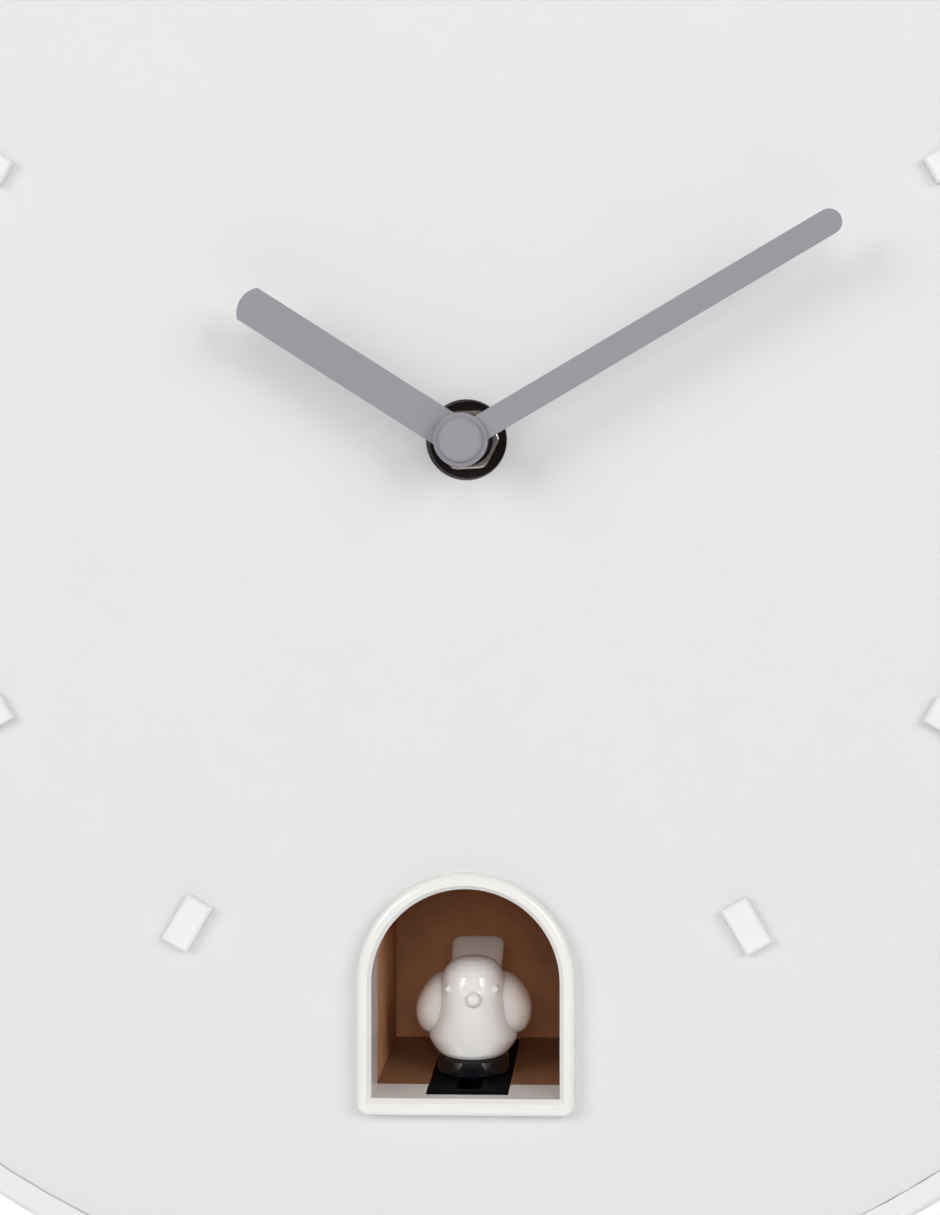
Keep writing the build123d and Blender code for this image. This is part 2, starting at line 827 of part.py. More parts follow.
third_direction = 60.0
fourth_direction = 170.0
fifth_direction = 190.0
rotor_direction = 250.0
third_place = stepped((0.0, 0.0), centre_teeth, third_leaves, third_direction)
fourth_place = stepped(third_place, third_teeth, fourth_leaves, fourth_direction)
fifth_place = stepped(fourth_place, fourth_teeth, fifth_leaves, fifth_direction)
rotor_place = stepped(fifth_place, fifth_teeth, rotor_leaves, rotor_direction)

third_leaf_phase = meshed_phase(0.0, centre_teeth, third_leaves, math.radians(third_direction))
fourth_leaf_phase = meshed_phase(0.0, third_teeth, fourth_leaves, math.radians(fourth_direction))
fifth_leaf_phase = meshed_phase(0.0, fourth_teeth, fifth_leaves, math.radians(fifth_direction))
rotor_pinion_phase = meshed_phase(0.0, fifth_teeth, rotor_leaves, math.radians(rotor_direction))

wheel_thickness = 0.6
pinion_thickness = 1.2
rotor_layer = train_floor + 1.5
fourth_layer = rotor_layer + 2.1
third_layer = fourth_layer + 1.8
centre_layer = third_layer + 1.9
works_layer = centre_layer + 2.6
hour_layer = works_floor - 1.4
with BuildPart() as movement_front:
    half_side = movement_side / 2
    block((-half_side, half_side), (movement_parting, movement_front_face), (-half_side, half_side))
    fillet(movement_front.edges().filter_by(Axis.Y), 3)
    inner = half_side - movement_wall
    block((-inner, inner), (movement_parting, works_floor), (-inner, inner), Mode.SUBTRACT)
    rod(0, 0, bushing_radius, works_floor, bushing_top)
    rod(0, 0, hour_tube_radius + shaft_fit, works_floor, bushing_top, Mode.SUBTRACT)
    works_places = ((minute_wheel_x, minute_wheel_z), (knob_x, knob_z))
    for place in (third_place, fourth_place, fifth_place, rotor_place, *works_places):
        rod(*place, pivot_radius + pivot_fit, works_floor, works_floor + pivot_depth, Mode.SUBTRACT)
finish(movement_front.part, "movement_front")

with BuildPart() as movement_back:
    block((-half_side, half_side), (movement_back_face, movement_parting), (-half_side, half_side))
    fillet(movement_back.edges().filter_by(Axis.Y), 3)
    block((-inner, inner), (train_floor, movement_parting), (-inner, inner), Mode.SUBTRACT)
    for place in (
        (0.0, 0.0),
        third_place,
        fourth_place,
        fifth_place,
        rotor_place,
        (minute_wheel_x, minute_wheel_z),
    ):
        rod(*place, pivot_radius + pivot_fit, train_floor - pivot_depth, train_floor, Mode.SUBTRACT)
    rod(knob_x, knob_z, minute_shaft_radius + shaft_fit, movement_back_face, train_floor, Mode.SUBTRACT)
finish(movement_back.part, "movement_back")


def pivots(place, back=True, front=True):
    """Thin ends of an arbor that run in the two halves of the case."""
    if back:
        rod(*place, pivot_radius, train_floor - pivot_depth + 0.15, train_floor + 0.2)
    if front:
        rod(*place, pivot_radius, works_floor - 0.2, works_floor + pivot_depth - 0.15)


with BuildPart() as minute_arbor:
    pivots((0, 0), front=False)
    rod(0, 0, arbor_radius, train_floor + 0.2, centre_layer - 0.4)
    rod(0, 0, 1.9, centre_layer - 0.4, centre_layer - 0.1)
    rod(0, 0, minute_shaft_radius, centre_layer - 0.1, centre_layer + wheel_thickness + 0.3)
    rod(0, 0, 1.9, centre_layer + wheel_thickness + 0.3, works_layer)
    gear(0, 0, works_pinion_teeth, works_module, 0.0, works_layer - 0.2, works_layer + 1.0)
    rod(0, 0, minute_shaft_radius, works_layer + 1.0, cap_reach + 0.6)
finish(minute_arbor.part, "minute_arbor")

minute_phase = meshed_phase(0.0, works_pinion_teeth, works_wheel_teeth, math.radians(minute_wheel_angle))
knob_angle = math.atan2(knob_z - minute_wheel_z, knob_x - minute_wheel_x)
knob_phase = meshed_phase(minute_phase, works_wheel_teeth, works_pinion_teeth, knob_angle)
hour_pinion_phase = meshed_phase(0.0, hour_wheel_teeth, hour_pinion_teeth, math.radians(minute_wheel_angle))

with BuildPart() as minute_wheel:
    pivots((minute_wheel_x, minute_wheel_z))
    rod(minute_wheel_x, minute_wheel_z, arbor_radius, train_floor + 0.2, works_floor - 0.2)
    gear(
        minute_wheel_x,
        minute_wheel_z,
        works_wheel_teeth,
        works_module,
        minute_phase,
        works_layer,
        works_layer + 0.8,
    )
    rod(minute_wheel_x, minute_wheel_z, 1.5, works_layer + 0.8, hour_layer - 0.2)
    gear(
        minute_wheel_x,
        minute_wheel_z,
        hour_pinion_teeth,
        hour_module,
        hour_pinion_phase,
        hour_layer - 0.2,
        hour_layer + 1.0,
    )
finish(minute_wheel.part, "minute_wheel")

with BuildPart() as hour_wheel:
    gear(0, 0, hour_wheel_teeth, hour_module, 0.0, hour_layer, hour_layer + 0.8)
    rod(0, 0, hour_tube_radius, hour_layer + 0.8, hour_hand_reach + hand_thickness + 0.3)
    rod(
        0,
        0,
        minute_shaft_radius + shaft_fit,
        hour_layer,
        hour_hand_reach + hand_thickness + 0.3,
        Mode.SUBTRACT,
    )
finish(hour_wheel.part, "hour_wheel")

with BuildPart() as setting_knob:
    with BuildSketch(facing(wall_recess)):
        with Locations((knob_x, knob_z)):
            Circle(knob_radius)
        with Locations((knob_x, knob_z)):
            with PolarLocations(knob_radius, 24):
                Circle(0.35, mode=Mode.SUBTRACT)
    extrude(amount=knob_head)
    rod(knob_x, knob_z, minute_shaft_radius, wall_recess + knob_head, works_layer)
    gear(knob_x, knob_z, works_pinion_teeth, works_module, knob_phase, works_layer, works_layer + 0.8)
    rod(knob_x, knob_z, arbor_radius, works_layer + 0.8, works_floor - 0.2)
    pivots((knob_x, knob_z), back=False)
finish(setting_knob.part, "setting_knob")

with BuildPart() as centre_wheel:
    gear(0, 0, centre_teeth, train_module, 0.0, centre_layer, centre_layer + wheel_thickness)
    rod(0, 0, minute_shaft_radius + shaft_fit, centre_layer, centre_layer + wheel_thickness, Mode.SUBTRACT)
finish(centre_wheel.part, "centre_wheel")

train = (
    ("third_wheel", third_place, third_layer, third_teeth, centre_layer, third_leaves, third_leaf_phase),
    ("fourth_wheel", fourth_place, fourth_layer, fourth_teeth, third_layer, fourth_leaves, fourth_leaf_phase),
    ("fifth_wheel", fifth_place, rotor_layer, fifth_teeth, fourth_layer, fifth_leaves, fifth_leaf_phase),
)
for wheel_name, place, layer, teeth, pinion_layer, leaves, phase in train:
    with BuildPart() as wheel:
        pivots(place)
        rod(*place, arbor_radius, train_floor + 0.2, works_floor - 0.2)
        gear(*place, teeth, train_module, 0.0, layer, layer + wheel_thickness)
        gear(
            *place,
            leaves,
            train_module,
            phase,
            pinion_layer - 0.3,
            pinion_layer - 0.3 + pinion_thickness,
            0.02,
        )
    finish(wheel.part, wheel_name)

magnet_radius = 3.0
magnet_start = third_layer - 1.0
magnet_end = third_layer + 1.4

with BuildPart() as rotor:
    pivots(rotor_place)
    rod(*rotor_place, arbor_radius, train_floor + 0.2, works_floor - 0.2)
    gear(
        *rotor_place,
        rotor_leaves,
        train_module,
        rotor_pinion_phase,
        rotor_layer - 0.3,
        rotor_layer - 0.3 + pinion_thickness,
        0.02,
    )
    rod(*rotor_place, magnet_radius, magnet_start, magnet_end)
finish(rotor.part, "rotor")

stator_left = -half_side + 4.4
stator_leg = 3.2
stator_right = rotor_place[0] + magnet_radius + 1.3
stator_top = rotor_place[1] + magnet_radius + 1.1
coil_low = -13.0
coil_high = stator_top - 8.0
winding = 2.6

with BuildPart() as stator:
    with BuildSketch(facing(third_layer)):
        with BuildLine():
            Polyline(
                (stator_left, coil_low - 3.4),
                (stator_right, coil_low - 3.4),
                (stator_right, stator_top),
                (stator_left, stator_top),
                close=True,
            )
        make_face()
        with Locations(rotor_place):
            Circle(magnet_radius + 0.4, mode=Mode.SUBTRACT)
        window_left = stator_left + stator_leg
        window_right = window_left + winding + 0.4
        with Locations(((window_left + window_right) / 2, (coil_low + coil_high) / 2)):
            Rectangle(window_right - window_left, coil_high - coil_low + 0.4, mode=Mode.SUBTRACT)
    extrude(amount=wheel_thickness)
finish(stator.part, "stator")

with BuildPart() as coil:
    coil_middle = third_layer + wheel_thickness / 2
    block(
        (stator_left - winding, window_left + winding),
        (coil_middle - winding - 0.3, coil_middle + winding + 0.3),
        (coil_low, coil_high),
    )
    fillet(coil.edges().filter_by(Axis.Z), 1.6)
    block(
        (stator_left, window_left),
        (third_layer, third_layer + wheel_thickness),
        (coil_low, coil_high),
        Mode.SUBTRACT,
    )
finish(coil.part, "coil")

with BuildPart() as movement_board:
    block((8, 26), (train_floor, train_floor + 1.0), (-26, -6))
    with Locations((17, -(train_floor + 1.7), -12)):
        Cylinder(0.9, 8, rotation=(0, 90, 0))
    block((11, 19), (train_floor + 1.0, train_floor + 2.2), (-22, -16))
finish(movement_board.part, "movement_board")

with BuildPart() as movement_bracket:
    with BuildSketch(facing(bracket_back)):
        RectangleRounded(bracket_width, bracket_height, 5)
        Circle(bushing_radius + 0.2, mode=Mode.SUBTRACT)
        for post_x in (-bracket_post_x, bracket_post_x):
            for post_z in (-bracket_post_z, bracket_post_z):
                with Locations((post_x, post_z)):
                    Circle(screw_radius + screw_fit, mode=Mode.SUBTRACT)
    extrude(amount=bracket_thickness)
finish(movement_bracket.part, "movement_bracket")

with BuildPart() as washer:
    rod(0, 0, washer_radius, bracket_front, bracket_front + washer_thickness)
    rod(0, 0, bushing_radius + shaft_fit, bracket_front, bracket_front + washer_thickness, Mode.SUBTRACT)
finish(washer.part, "washer")

nut_back = bracket_front + washer_thickness

with BuildPart() as shaft_nut:
    with BuildSketch(facing(nut_back)):
        RegularPolygon(nut_across_flats / 2, 6, major_radius=False, rotation=nut_turn)
        Circle(bushing_radius + shaft_fit, mode=Mode.SUBTRACT)
    extrude(amount=nut_height)
    with BuildSketch(facing(nut_back)):
        Circle(nut_corner_radius)
    extrude(amount=nut_height, mode=Mode.INTERSECT)
    chamfer(shaft_nut.edges().filter_by(GeomType.CIRCLE).sort_by(Axis.Y)[:1], nut_bore_chamfer)
finish(shaft_nut.part, "shaft_nut")


# ------------------------------------------------------------------ hands
def hand_plane(reach, angle):
    """Plane in which a hand points along its own second axis; the angle is clockwise from twelve."""
    turn = math.radians(angle)
    return Plane(origin=(0, -reach, 0), x_dir=(math.cos(turn), 0, -math.sin(turn)), z_dir=(0, -1, 0))


with BuildPart() as minute_hand:
    with BuildSketch(hand_plane(minute_hand_reach, minute_hand_angle)):
        straight = minute_hand_length - minute_hand_width / 2
        with Locations((0, straight / 2)):
            Rectangle(minute_hand_width, straight)
        with Locations((0, straight)):
            Circle(minute_hand_width / 2)
        Circle(minute_hub_radius)
        Circle(minute_shaft_radius, mode=Mode.SUBTRACT)
    extrude(amount=hand_thickness)
finish(minute_hand.part, "minute_hand")

with BuildPart() as hour_hand:
    with BuildSketch(hand_plane(hour_hand_reach, hour_hand_angle)):
        half_hand = hour_hand_width / 2
        shoulder = hour_hand_length - hour_hand_crown
        with BuildLine():
            Polyline((-half_hand, shoulder), (-half_hand, 0), (half_hand, 0), (half_hand, shoulder))
            ThreePointArc((half_hand, shoulder), (0, hour_hand_length), (-half_hand, shoulder))
        make_face()
        Circle(hour_hub_radius)
        Circle(hour_tube_radius, mode=Mode.SUBTRACT)
    extrude(amount=hand_thickness)
finish(hour_hand.part, "hour_hand")

with BuildPart() as hand_cap:
    rod(0, 0, cap_flange_radius, cap_reach, cap_reach + cap_flange_height)
    chamfer(hand_cap.edges().sort_by(Axis.Y)[0], cap_bevel)
    rod(0, 0, cap_radius, cap_reach, cap_reach + cap_height)
    chamfer(hand_cap.edges().sort_by(Axis.Y)[0], cap_bevel)
    rod(0, 0, minute_shaft_radius, cap_reach, cap_reach + 0.6, Mode.SUBTRACT)
finish(hand_cap.part, "hand_cap")

# ------------------------------------------------------------------ back cover and what it carries
tray_half_length = tray_inner_length / 2
tray_low = tray_centre - tray_inner_height / 2
tray_high = tray_centre + tray_inner_height / 2
hanger_screw_x = hanger_width / 2 - 5
hanger_boss_reach = 8.0
board_post_x = board_width / 2 - 4
board_post_z = board_height / 2 - 4
dish_wall = 1.5

with BuildPart() as back_cover:
    with BuildSketch(facing(0)):
        Circle(cover_radius)
        with Locations((knob_x, knob_z)):
            Circle(knob_dish_radius, mode=Mode.SUBTRACT)
        with Locations((0, tray_centre)):
            Rectangle(tray_inner_length, tray_inner_height, mode=Mode.SUBTRACT)
        with Locations((0, hanger_centre)):
            Rectangle(16, 22, mode=Mode.SUBTRACT)
        with Locations((switch_x, control_z)):
            Rectangle(2 * (2.0 + switch_travel + control_gap), 2 * (1.4 + control_gap), mode=Mode.SUBTRACT)
        with Locations((button_x, control_z)):
            Circle(2.0 + control_gap, mode=Mode.SUBTRACT)
        with Locations((speaker_x, speaker_z)):
            Circle(1.6, mode=Mode.SUBTRACT)
            for ring_radius, hole_count in ((6, 6), (12, 12), (18, 18)):
                with PolarLocations(ring_radius, hole_count):
                    Circle(1.6, mode=Mode.SUBTRACT)
        with PolarLocations(cover_post_ring, cover_screw_count):
            Circle(screw_radius + screw_fit, mode=Mode.SUBTRACT)
    extrude(amount=cover_thickness)
    with BuildSketch(facing(0)):
        with PolarLocations(cover_post_ring, cover_screw_count):
            Circle(screw_head_radius + 0.1)
    extrude(amount=screw_head_height, mode=Mode.SUBTRACT)
    with BuildSketch(facing(0)):
        with Locations((0, tray_centre)):
            Rectangle(tray_inner_length + 2 * door_land, tray_inner_height + 2 * door_land)
    extrude(amount=door_thickness + 0.1, mode=Mode.SUBTRACT)
    with BuildSketch(facing(0)):
        with Locations((0, hanger_centre)):
            Rectangle(hanger_width + 0.2, hanger_height + 0.2)
    extrude(amount=hanger_thickness, mode=Mode.SUBTRACT)
    dish_floor = knob_dish_depth
    rod(knob_x, knob_z, knob_dish_radius + dish_wall, cover_thickness, dish_floor + dish_wall)
    rod(knob_x, knob_z, knob_dish_radius, cover_thickness, dish_floor, Mode.SUBTRACT)
    rod(knob_x, knob_z, minute_shaft_radius + 0.6, dish_floor, dish_floor + dish_wall, Mode.SUBTRACT)
    for side in (-1, 1):
        rod(side * hanger_screw_x, hanger_centre, 3.4, hanger_thickness, hanger_boss_reach)
        rod(
            side * hanger_screw_x,
            hanger_centre,
            screw_radius + screw_fit,
            hanger_thickness,
            hanger_boss_reach - 0.8,
            Mode.SUBTRACT,
        )
        for post_side in (-1, 1):
            post = (board_x + side * board_post_x, board_z + post_side * board_post_z)
            rod(*post, 3.0, cover_thickness, board_reach)
            rod(*post, screw_radius + screw_fit, board_reach - screw_length, board_reach, Mode.SUBTRACT)
finish(back_cover.part, "back_cover")

with BuildPart() as hanger_plate:
    with BuildSketch(facing(0)):
        with Locations((0, hanger_centre)):
            RectangleRounded(hanger_width, hanger_height, 2)
        with Locations((0, keyhole_centre)):
            Circle(keyhole_radius, mode=Mode.SUBTRACT)
        with Locations((0, keyhole_centre + keyhole_rise / 2)):
            Rectangle(keyhole_slot_width, keyhole_rise, mode=Mode.SUBTRACT)
        with Locations((0, keyhole_centre + keyhole_rise)):
            Circle(keyhole_slot_width / 2, mode=Mode.SUBTRACT)
    extrude(amount=hanger_thickness)
    for side in (-1, 1):
        with Locations((side * hanger_screw_x, -hanger_thickness / 2, hanger_centre)):
            Cone(
                screw_radius,
                screw_head_radius,
                hanger_thickness,
                rotation=(-90, 0, 0),
                mode=Mode.SUBTRACT,
            )
finish(hanger_plate.part, "hanger_plate")

with BuildPart() as hanger_screws:
    for side in (-1, 1):
        with Locations((side * hanger_screw_x, -hanger_thickness / 2, hanger_centre)):
            Cone(screw_radius, screw_head_radius, hanger_thickness, rotation=(-90, 0, 0))
        rod(
            side * hanger_screw_x,
            hanger_centre,
            screw_radius,
            hanger_thickness,
            hanger_thickness + screw_length,
        )
finish(hanger_screws.part, "hanger_screws")

with BuildPart() as cover_screws:
    for number in range(cover_screw_count):
        bearing = 2 * math.pi * number / cover_screw_count
        screw(cover_post_ring * math.cos(bearing), cover_post_ring * math.sin(bearing), screw_head_height, 1)
finish(cover_screws.part, "cover_screws")

with BuildPart() as battery_tray:
    outer_length = tray_half_length + tray_wall
    block(
        (-outer_length, outer_length),
        (cover_thickness, tray_floor + tray_wall),
        (tray_low - tray_wall, tray_high + tray_wall),
    )
    block(
        (-tray_half_length, tray_half_length),
        (cover_thickness, tray_floor),
        (tray_low, tray_high),
        Mode.SUBTRACT,
    )
finish(battery_tray.part, "battery_tray")

contact_face = tray_half_length - contact_thickness

with BuildPart() as battery_cells:
    for number in range(cell_count):
        cell_z = tray_low + (number + 0.5) * (2 * cell_radius + cell_gap)
        turn = 1 if number % 2 == 0 else -1
        body_span = sorted((turn * (contact_face - 1.0), turn * (contact_face - cell_length)))
        tip_span = sorted((turn * contact_face, turn * (contact_face - 1.0)))
        cross_rod(cell_reach, cell_z, cell_radius, *body_span)
        cross_rod(cell_reach, cell_z, 2.75, *tip_span)
finish(battery_cells.part, "battery_cells")

with BuildPart() as battery_contacts:
    for number in range(cell_count):
        cell_z = tray_low + (number + 0.5) * (2 * cell_radius + cell_gap)
        turn = 1 if number % 2 == 0 else -1
        for side in (-1, 1):
            plate = sorted((side * contact_face, side * tray_half_length))
            block(plate, (cell_reach - 5, cell_reach + 5), (cell_z - 5, cell_z + 5))
        spring_root = -turn * contact_face
        spring_tip = turn * (contact_face - cell_length)
        inset = turn * 0.5
        with BuildSketch(Plane.XY.offset(cell_z - 2)):
            Polygon(
                (spring_root, -cell_reach + 4.5),
                (spring_tip, -cell_reach + 0.6),
                (spring_tip, -cell_reach - 0.6),
                (spring_root, -cell_reach - 4.5),
                (spring_root, -cell_reach - 3.9),
                (spring_tip - inset, -cell_reach - 0.3),
                (spring_tip - inset, -cell_reach + 0.3),
                (spring_root, -cell_reach + 3.9),
                align=None,
            )
        extrude(amount=4)
finish(battery_contacts.part, "battery_contacts")

with BuildPart() as battery_door:
    with BuildSketch(facing(0)):
        with Locations((0, tray_centre)):
            RectangleRounded(
                tray_inner_length + 2 * (door_land - door_gap),
                tray_inner_height + 2 * (door_land - door_gap),
                1,
            )
    extrude(amount=door_thickness)
    for side in (-1, 1):
        rib = sorted((side * (tray_half_length - door_gap - 1.2), side * (tray_half_length - door_gap)))
        block(rib, (door_thickness, cover_thickness), (tray_low + 8, tray_high - 8))
    with BuildSketch(facing(0)):
        with Locations((0, tray_low + 3)):
            SlotOverall(16, 3.2)
    extrude(amount=0.8, mode=Mode.SUBTRACT)
finish(battery_door.part, "battery_door")

speaker_base = cover_thickness
speaker_plane = Plane(origin=(speaker_x, 0, speaker_z), x_dir=(1, 0, 0), z_dir=(0, 0, 1))
speaker_axis = Axis((speaker_x, 0, speaker_z), (0, 1, 0))
basket_depth = 10.0
magnet_outer = 15.0
cone_seat = 0.8
magnet_depth = 8.0

with BuildPart() as speaker_frame:
    with BuildSketch(speaker_plane):
        with BuildLine():
            Polyline(
                (speaker_radius, -speaker_base),
                (speaker_radius, -speaker_base - 1.2),
                (speaker_radius - 3.2, -speaker_base - 1.2),
                (magnet_outer, -speaker_base - basket_depth),
                (8.5, -speaker_base - basket_depth),
                (8.5, -speaker_base - basket_depth + 1.2),
                (magnet_outer - 0.6, -speaker_base - basket_depth + 1.2),
                (speaker_radius - 6.6, -speaker_base - cone_seat),
                (speaker_radius - 4.4, -speaker_base - cone_seat),
                (speaker_radius - 4.4, -speaker_base),
                close=True,
            )
        make_face()
    revolve(axis=speaker_axis)
finish(speaker_frame.part, "speaker_frame")

with BuildPart() as speaker_cone:
    with BuildSketch(speaker_plane):
        with BuildLine():
            Polyline(
                (speaker_radius - 4.6, -speaker_base - cone_seat + 0.4),
                (speaker_radius - 4.6, -speaker_base - cone_seat),
                (speaker_radius - 7.6, -speaker_base - cone_seat),
                (8.0, -speaker_base - 7.4),
                (0, -speaker_base - 5.8),
                (0, -speaker_base - 5.2),
                (8.0, -speaker_base - 6.8),
                (speaker_radius - 7.4, -speaker_base - cone_seat + 0.4),
                close=True,
            )
        make_face()
    revolve(axis=speaker_axis)
finish(speaker_cone.part, "speaker_cone")

with BuildPart() as speaker_magnet:
    rod(
        speaker_x,
        speaker_z,
        magnet_outer,
        speaker_base + basket_depth,
        speaker_base + basket_depth + magnet_depth,
    )
    rod(speaker_x, speaker_z, 6.0, speaker_base + 8.4, speaker_base + basket_depth)
finish(speaker_magnet.part, "speaker_magnet")

with BuildPart() as sound_board:
    block(
        (board_x - board_width / 2, board_x + board_width / 2),
        (board_reach, board_reach + board_thickness),
        (board_z - board_height / 2, board_z + board_height / 2),
    )
    for side in (-1, 1):
        for post_side in (-1, 1):
            rod(
                board_x + side * board_post_x,
                board_z + post_side * board_post_z,
                screw_radius + screw_fit,
                board_reach,
                board_reach + board_thickness,
                Mode.SUBTRACT,
            )
    chip_base = board_reach + board_thickness
    block((board_x - 16, board_x - 4), (chip_base, chip_base + 1.6), (board_z - 10, board_z + 2))
    block((board_x + 4, board_x + 12), (chip_base, chip_base + 1.6), (board_z - 8, board_z))
    for offset in (0, 8):
        rod(board_x + offset, board_z + 10, 2.5, chip_base, chip_base + 7)
finish(sound_board.part, "sound_board")

control_seat = 4.4
channel_floor = 6.6

with BuildPart() as switch_body:
    block((switch_x - 6.5, switch_x + 6.5), (control_seat, board_reach), (control_z - 3.2, control_z + 3.2))
    slot_half = 2.0 + switch_travel + control_gap
    block(
        (switch_x - slot_half, switch_x + slot_half),
        (control_seat, channel_floor),
        (control_z - 1.4 - control_gap, control_z + 1.4 + control_gap),
        Mode.SUBTRACT,
    )
finish(switch_body.part, "switch_body")

with BuildPart() as switch_slider:
    block(
        (switch_x - 2.0, switch_x + 2.0),
        (wall_recess, channel_floor - control_gap),
        (control_z - 1.4, control_z + 1.4),
    )
    for offset in (-1.2, 0, 1.2):
        block(
            (switch_x + offset - 0.2, switch_x + offset + 0.2),
            (wall_recess, wall_recess + 0.4),
            (control_z - 1.4, control_z + 1.4),
            Mode.SUBTRACT,
        )
finish(switch_slider.part, "switch_slider")

button_flange_start = cover_thickness + 0.6
button_flange_end = button_flange_start + 0.8
button_seat = button_flange_end + button_travel + 0.2

with BuildPart() as button_body:
    block((button_x - 4, button_x + 4), (button_seat, board_reach), (control_z - 4, control_z + 4))
    rod(button_x, control_z, 2.0 + control_gap, button_seat, board_reach - 0.4, Mode.SUBTRACT)
finish(button_body.part, "button_body")

with BuildPart() as test_button:
    rod(button_x, control_z, 2.0, wall_recess, board_reach - 0.4 - button_travel - 0.2)
    rod(button_x, control_z, 2.9, button_flange_start, button_flange_end)
    fillet(test_button.edges().sort_by(Axis.Y)[-1], 0.4)
finish(test_button.part, "test_button")

with BuildPart() as panel_screws:
    for side in (-1, 1):
        for post_side in (-1, 1):
            screw(side * bracket_post_x, post_side * bracket_post_z, bracket_back, 1)
            board_post = (board_x + side * board_post_x, board_z + post_side * board_post_z)
            screw(*board_post, board_reach + board_thickness, -1)
        for hole_z in (flange_screw_low, flange_screw_high):
            screw(side * flange_screw_x, hole_z, nest_front - nest_flange_thickness, 1)
        for hole_reach in foot_screw_reaches:
            with Locations((side * flange_screw_x, -hole_reach, plate_bottom - screw_head_height / 2)):
                Cylinder(screw_head_radius, screw_head_height)
            with Locations((side * flange_screw_x, -hole_reach, plate_bottom + screw_length / 2)):
                Cylinder(screw_radius, screw_length)
    for post_reach, post_z in gearbox_posts:
        cross_rod(post_reach, post_z, screw_radius, motor_x - screw_length, motor_x)
        cross_rod(post_reach, post_z, screw_head_radius, motor_x, motor_x + screw_head_height)
finish(panel_screws.part, "panel_screws")


# ------------------------------------------------------------------ leads inside the case
# Each route is a list of (x, reach, z) points, from where the lead leaves one piece to where it
# meets another. Every corner is an arc as large as its two runs allow.
lead_radius = 0.8
board_face = board_reach + board_thickness
board_left = board_x - board_width / 2
board_low = board_z - board_height / 2
speaker_edge = speaker_x + speaker_radius - 1.6

leads = {
    "speaker_lead": (
        (speaker_edge, speaker_base + 1.2, speaker_z),
        (speaker_edge, 15, speaker_z),
        (speaker_edge + 14, 21, speaker_z + 3),
        (-6, 23, speaker_z - 2),
        (16, 22, speaker_z + 2),
        (board_left - 7, 21, speaker_z - 1),
        (board_left + 3.5, 18, board_z - 2),
        (board_left + 3.5, board_face, board_z - 2),
    ),
    "battery_lead": (
        (14, cell_reach, tray_low - tray_wall),
        (14, cell_reach, tray_low - 13),
        (25, 15, 24),
        (37, 18, 8),
        (44, 19, -10),
        (51, 19, -27),
        (52, 17, board_z + 13),
        (52, board_face, board_z + 13),
    ),
    "motor_lead": (
        (motor_x + motor_length, motor_axis_reach + 5, motor_axis_z - 2),
        (motor_x + motor_length + 11, motor_axis_reach + 5, motor_axis_z - 2),
        (58, 22, -117),
        (63, 21, -102),
        (61, 19, -88),
        (62, 17, board_low + 4),
        (62, board_face, board_low + 4),
    ),
    "movement_lead": (
        (19, movement_back_face, -14),
        (19, 23, -14),
        (30, 25, -22),
        (44, 25, -31),
        (58, 24, -37),
        (65, 17, board_z + 15.5),
        (65, board_face, board_z + 15.5),
    ),
}


def corner_radii(points):
    """Largest arc for each corner: 0.45 of the shorter run over the tangent of half the turn."""
    radii = []
    for before, corner, after in zip(points, points[1:], points[2:]):
        run_in = corner - before
        run_out = after - corner
        half_turn = math.radians(run_in.get_angle(run_out)) / 2
        radii.append(0.45 * min(run_in.length, run_out.length) / math.tan(half_turn))
    return radii


for lead_name, route in leads.items():
    points = [Vector(x, -reach, z) for x, reach, z in route]
    radii = corner_radii(points)
    print(lead_name, "arcs", [round(radius, 1) for radius in radii])
    with BuildPart() as lead:
        with BuildLine() as path:
            FilletPolyline(*points, radius=radii)
        with BuildSketch(Plane(origin=path.line @ 0, z_dir=path.line % 0)):
            Circle(lead_radius)
        sweep(path=path.line)
    run_length = sum(edge.length for edge in path.edges())
    section_area = math.pi * lead_radius**2
    print(
        lead_name,
        "length",
        round(run_length, 1),
        "volume share",
        round(lead.part.volume / run_length / section_area, 3),
    )
    finish(lead.part, lead_name)
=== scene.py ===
import math

import bmesh
import bpy
from mathutils import Matrix, Vector


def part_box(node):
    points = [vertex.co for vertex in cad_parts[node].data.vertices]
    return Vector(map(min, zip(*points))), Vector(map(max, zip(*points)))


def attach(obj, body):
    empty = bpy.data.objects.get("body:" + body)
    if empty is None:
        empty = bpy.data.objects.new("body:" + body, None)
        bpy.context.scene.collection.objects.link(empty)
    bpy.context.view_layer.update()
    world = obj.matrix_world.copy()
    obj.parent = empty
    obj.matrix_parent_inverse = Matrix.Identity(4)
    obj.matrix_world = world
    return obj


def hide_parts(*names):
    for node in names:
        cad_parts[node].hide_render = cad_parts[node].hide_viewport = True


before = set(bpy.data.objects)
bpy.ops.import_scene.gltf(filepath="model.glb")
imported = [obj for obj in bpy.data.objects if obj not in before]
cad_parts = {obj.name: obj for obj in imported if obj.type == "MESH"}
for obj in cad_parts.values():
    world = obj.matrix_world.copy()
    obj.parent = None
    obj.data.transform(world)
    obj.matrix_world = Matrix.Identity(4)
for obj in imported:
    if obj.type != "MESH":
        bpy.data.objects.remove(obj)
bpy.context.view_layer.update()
MM = 0.001


# ---------------------------------------------------------------- materials
NOISE_LOW, NOISE_HIGH = 0.3, 0.7
BUMP_STRENGTH = 0.6
COAT_ROUGHNESS = 0.06
GLOSS_COARSER = 9
SUBSURFACE_RADIUS = (1.0, 0.8, 0.7)
SUBSURFACE_DEPTH = 0.6
# painted shade on the nest's upward faces: the slopes where it begins and where it is full, and the share of
# colour it leaves
SHADE_SLOPE_START, SHADE_SLOPE_END = 0.6, 0.95
NEST_FLOOR_PAINTED_SHADE_SHARE = 0.4


def link(tree, source, target):
    tree.links.new(source, target)


